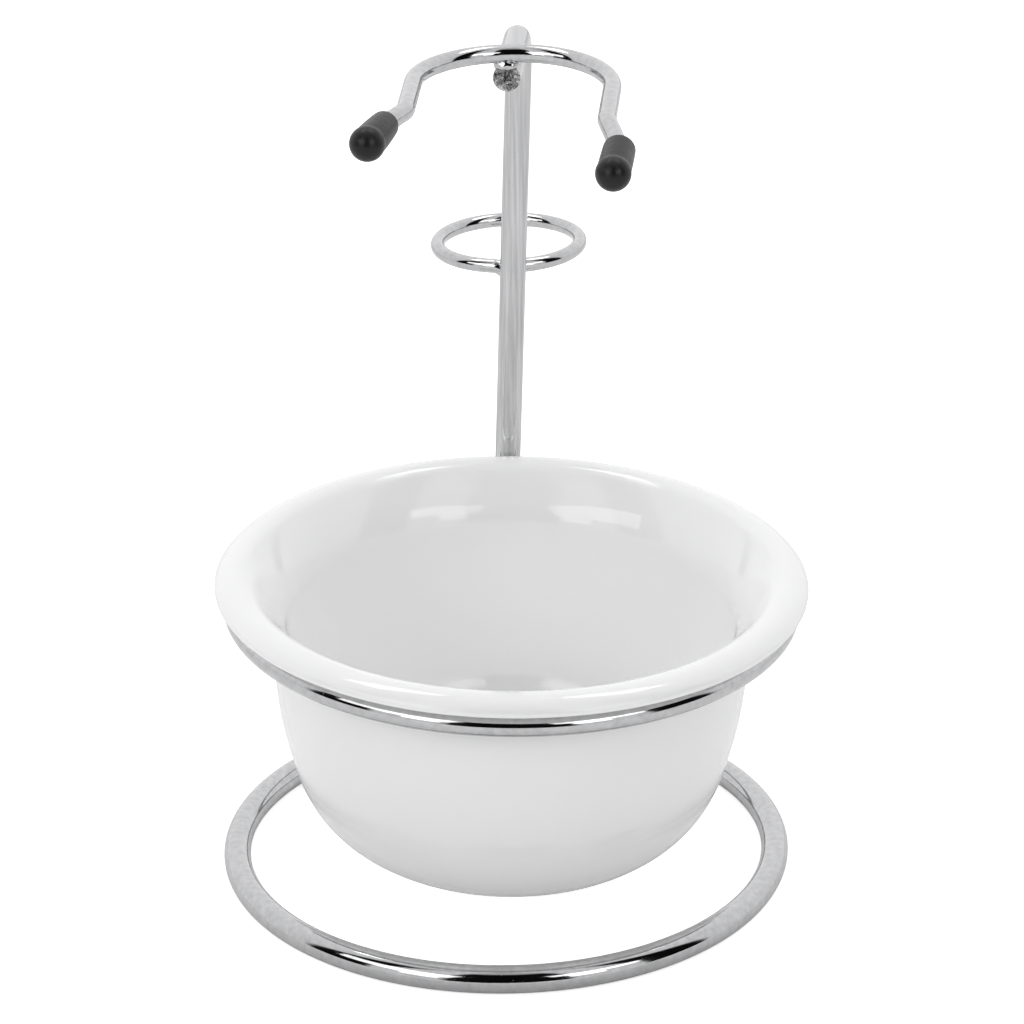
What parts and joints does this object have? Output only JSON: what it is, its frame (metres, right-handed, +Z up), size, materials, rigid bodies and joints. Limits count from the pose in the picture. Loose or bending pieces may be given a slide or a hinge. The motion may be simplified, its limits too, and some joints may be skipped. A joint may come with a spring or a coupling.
{
  "type": "shaving stand with bowl",
  "caption": "Free-standing chromed wire shaving stand: a post with a brush fork and a razor ring, and a white bowl that lifts out of its ring.",
  "frame": {"origin": "on the table, under the middle of the whole object's box", "axes": "+Z up; +Y towards the back, where the post and the razor ring are; the open end of the brush fork points to -Y; +X to the right as seen from the front"},
  "size_m": [0.1086, 0.1452, 0.1509],
  "materials": {
    "chrome": "bright polished chrome plate on steel wire, with fine pits",
    "weld": "lumpy weld metal, chrome plated over",
    "rubber": "black, soft satin",
    "glaze": "white, high gloss"
  },
  "bodies": {
    "stand": {"base_ring": "chrome", "post": "chrome", "bowl_ring": "chrome", "brush_fork": "chrome", "razor_ring": "chrome", "left_rubber_tip": "rubber", "right_rubber_tip": "rubber", "base_ring_weld": "weld", "bowl_ring_weld": "weld", "razor_ring_weld": "weld", "brush_fork_weld": "weld"},
    "bowl": {"bowl": "glaze"}
  },
  "joints": [
    {"name": "bowl_lift", "type": "slide", "parent": "stand", "child": "bowl", "axis": [0, 0, 1], "range_m": [0, 0.05]}
  ]
}
